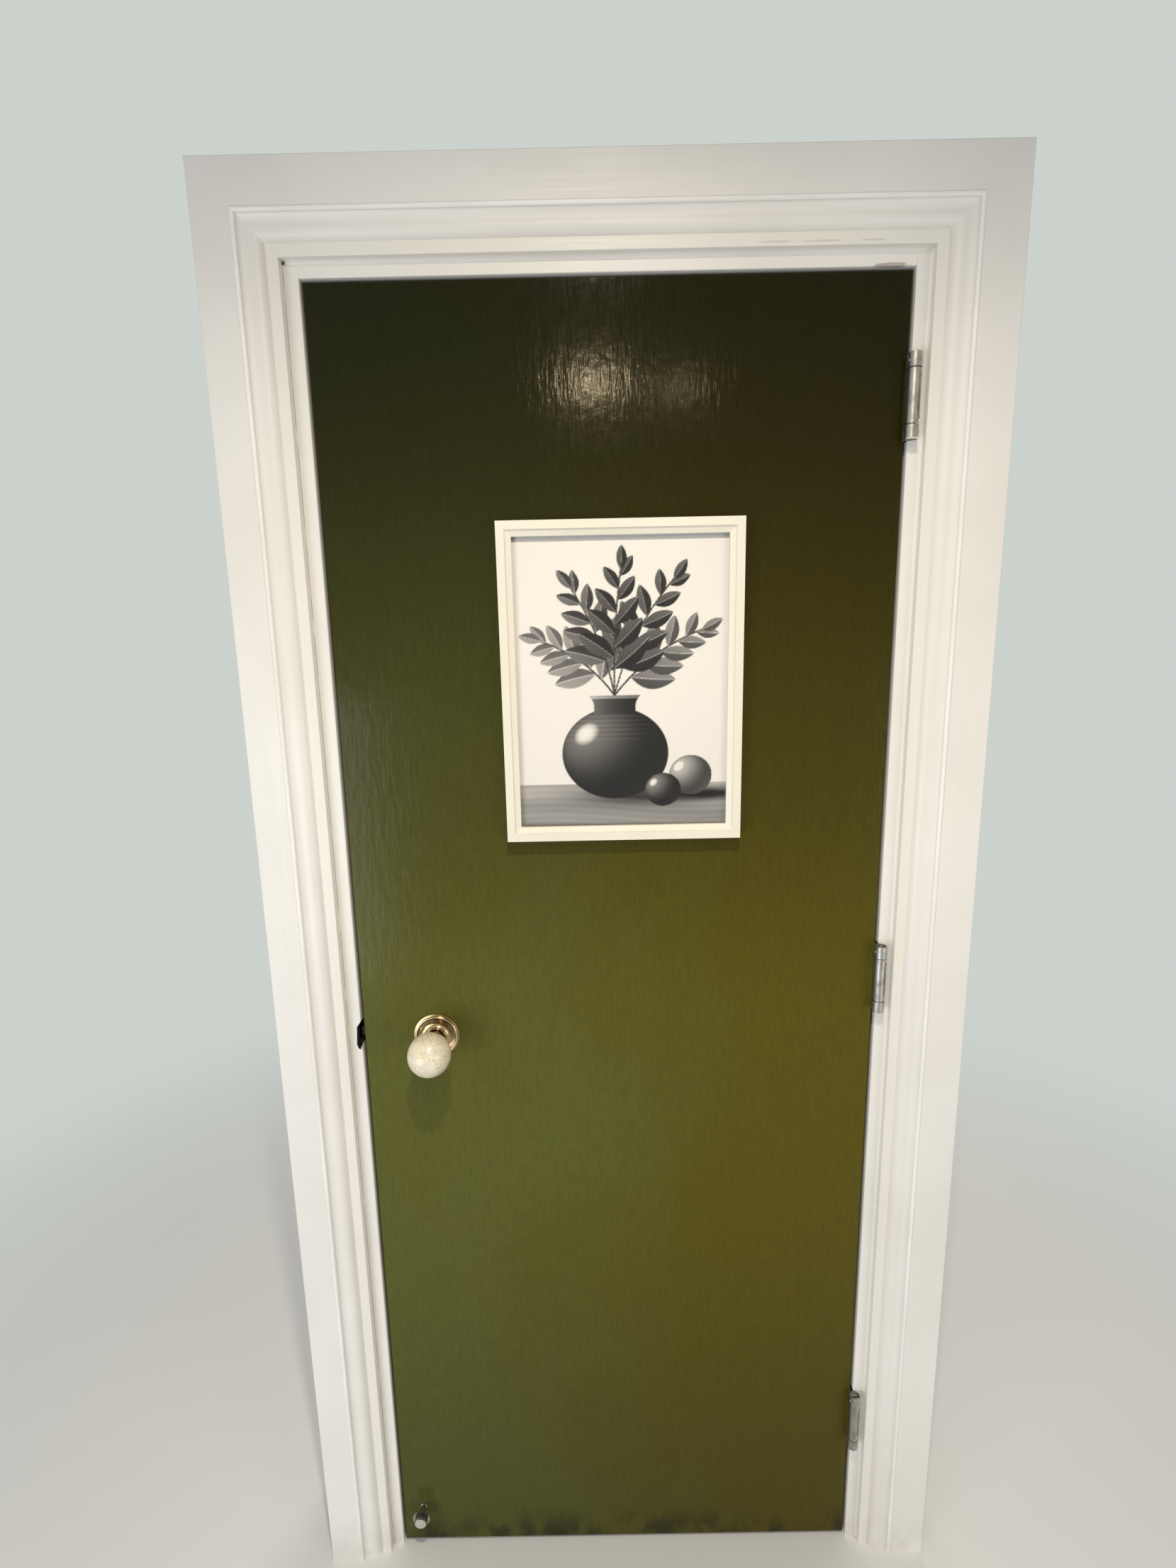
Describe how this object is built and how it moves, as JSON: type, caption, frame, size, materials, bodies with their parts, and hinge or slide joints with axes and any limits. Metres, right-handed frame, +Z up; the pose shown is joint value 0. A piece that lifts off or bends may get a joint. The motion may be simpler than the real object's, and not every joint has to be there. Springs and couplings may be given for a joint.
{
  "type": "flush interior door with frame",
  "caption": "Flush hinged door leaf in its lining with moulded architraves, self-closing hinges, ball knobs working a tubular latch, a framed picture and a round buffer.",
  "frame": {"origin": "on the floor, midway between the jambs, in the plane of the wall's front face", "axes": "+X across the doorway towards the hinges, +Y into the wall away from the side the leaf opens to, +Z up"},
  "size_m": [1.014, 0.2416, 2.113],
  "materials": {
    "white_painted_wood": "brushed white gloss paint",
    "green_painted_board": "dark olive satin paint",
    "bare_wood": "unfinished",
    "hinge_steel": "satin nickel plate",
    "spring_steel": "oiled",
    "antique_brass": "antiqued, polished",
    "dark_bronze": "dark polished",
    "cream_ceramic": "crackle glaze",
    "latch_steel": "zinc plate",
    "cream_painted_moulding": "cream satin paint",
    "clear_glass": "clear",
    "printed_paper": "monochrome print",
    "foam_strip": "foam",
    "polished_chrome": "polished",
    "black_rubber": "matt"
  },
  "bodies": {
    "frame": {"back_architrave_head": "white_painted_wood", "back_architrave_hinge_side": "white_painted_wood", "back_architrave_latch_side": "white_painted_wood", "bottom_hinge_jamb_leaf": "hinge_steel", "bottom_hinge_pivot_plug": "hinge_steel", "bottom_hinge_spring": "spring_steel", "bottom_hinge_tension_collar": "hinge_steel", "front_architrave_head": "white_painted_wood", "front_architrave_hinge_side": "white_painted_wood", "front_architrave_latch_side": "white_painted_wood", "head_jamb": "white_painted_wood", "head_stop": "white_painted_wood", "hinge_jamb": "white_painted_wood", "hinge_jamb_screws": "hinge_steel", "hinge_plug_pins": "hinge_steel", "hinge_side_stop": "white_painted_wood", "hinge_tension_pins": "hinge_steel", "latch_jamb": "white_painted_wood", "latch_side_stop": "white_painted_wood", "middle_hinge_jamb_leaf": "hinge_steel", "middle_hinge_pivot_plug": "hinge_steel", "middle_hinge_spring": "spring_steel", "middle_hinge_tension_collar": "hinge_steel", "top_hinge_jamb_leaf": "hinge_steel", "top_hinge_pivot_plug": "hinge_steel", "top_hinge_spring": "spring_steel", "top_hinge_tension_collar": "hinge_steel"},
    "leaf": {"back_rose": "antique_brass", "bottom_hinge_door_leaf": "hinge_steel", "door_buffer_body": "polished_chrome", "door_buffer_cap": "polished_chrome", "door_buffer_ring": "black_rubber", "front_rose": "antique_brass", "hinge_leaf_screws": "hinge_steel", "latch_case": "latch_steel", "latch_faceplate": "latch_steel", "latch_screws": "latch_steel", "latch_spring": "spring_steel", "leaf_back_skin": "green_painted_board", "leaf_bottom_rail": "bare_wood", "leaf_core": "bare_wood", "leaf_front_skin": "green_painted_board", "leaf_hinge_stile": "bare_wood", "leaf_lock_stile": "bare_wood", "leaf_top_rail": "bare_wood", "middle_hinge_door_leaf": "hinge_steel", "picture_backing": "bare_wood", "picture_frame": "cream_painted_moulding", "picture_glass": "clear_glass", "picture_print": "printed_paper", "picture_strips": "foam_strip", "rose_screws": "antique_brass", "top_hinge_door_leaf": "hinge_steel"},
    "knob_set": {"front_knob": "cream_ceramic", "back_knob": "cream_ceramic", "front_knob_neck": "dark_bronze", "back_knob_neck": "dark_bronze", "spindle": "latch_steel", "latch_hub": "latch_steel"},
    "bolt": {"latch_bolt": "latch_steel"}
  },
  "joints": [
    {"name": "door_swing", "type": "hinge", "parent": "frame", "child": "leaf", "pos_m": [0.3845, -0.009, 1], "axis": [0, 0, 1], "range_deg": [0, 110], "stiffness_Nm_per_rad": 6, "springref_deg": -91.67},
    {"name": "knob_turn", "type": "hinge", "parent": "leaf", "child": "knob_set", "pos_m": [-0.272, 0.026, 0.963], "axis": [0, 1, 0], "range_deg": [0, 60]},
    {"name": "bolt_slide", "type": "slide", "parent": "leaf", "child": "bolt", "axis": [1, 0, 0], "range_m": [0, 0.0088], "stiffness_N_per_m": 800, "springref_m": -0.01, "deforming": ["latch_spring"]}
  ],
  "couplings": [
    {"joint": "bolt_slide", "follows": "knob_turn", "m_per_rad": 0.0084}
  ]
}
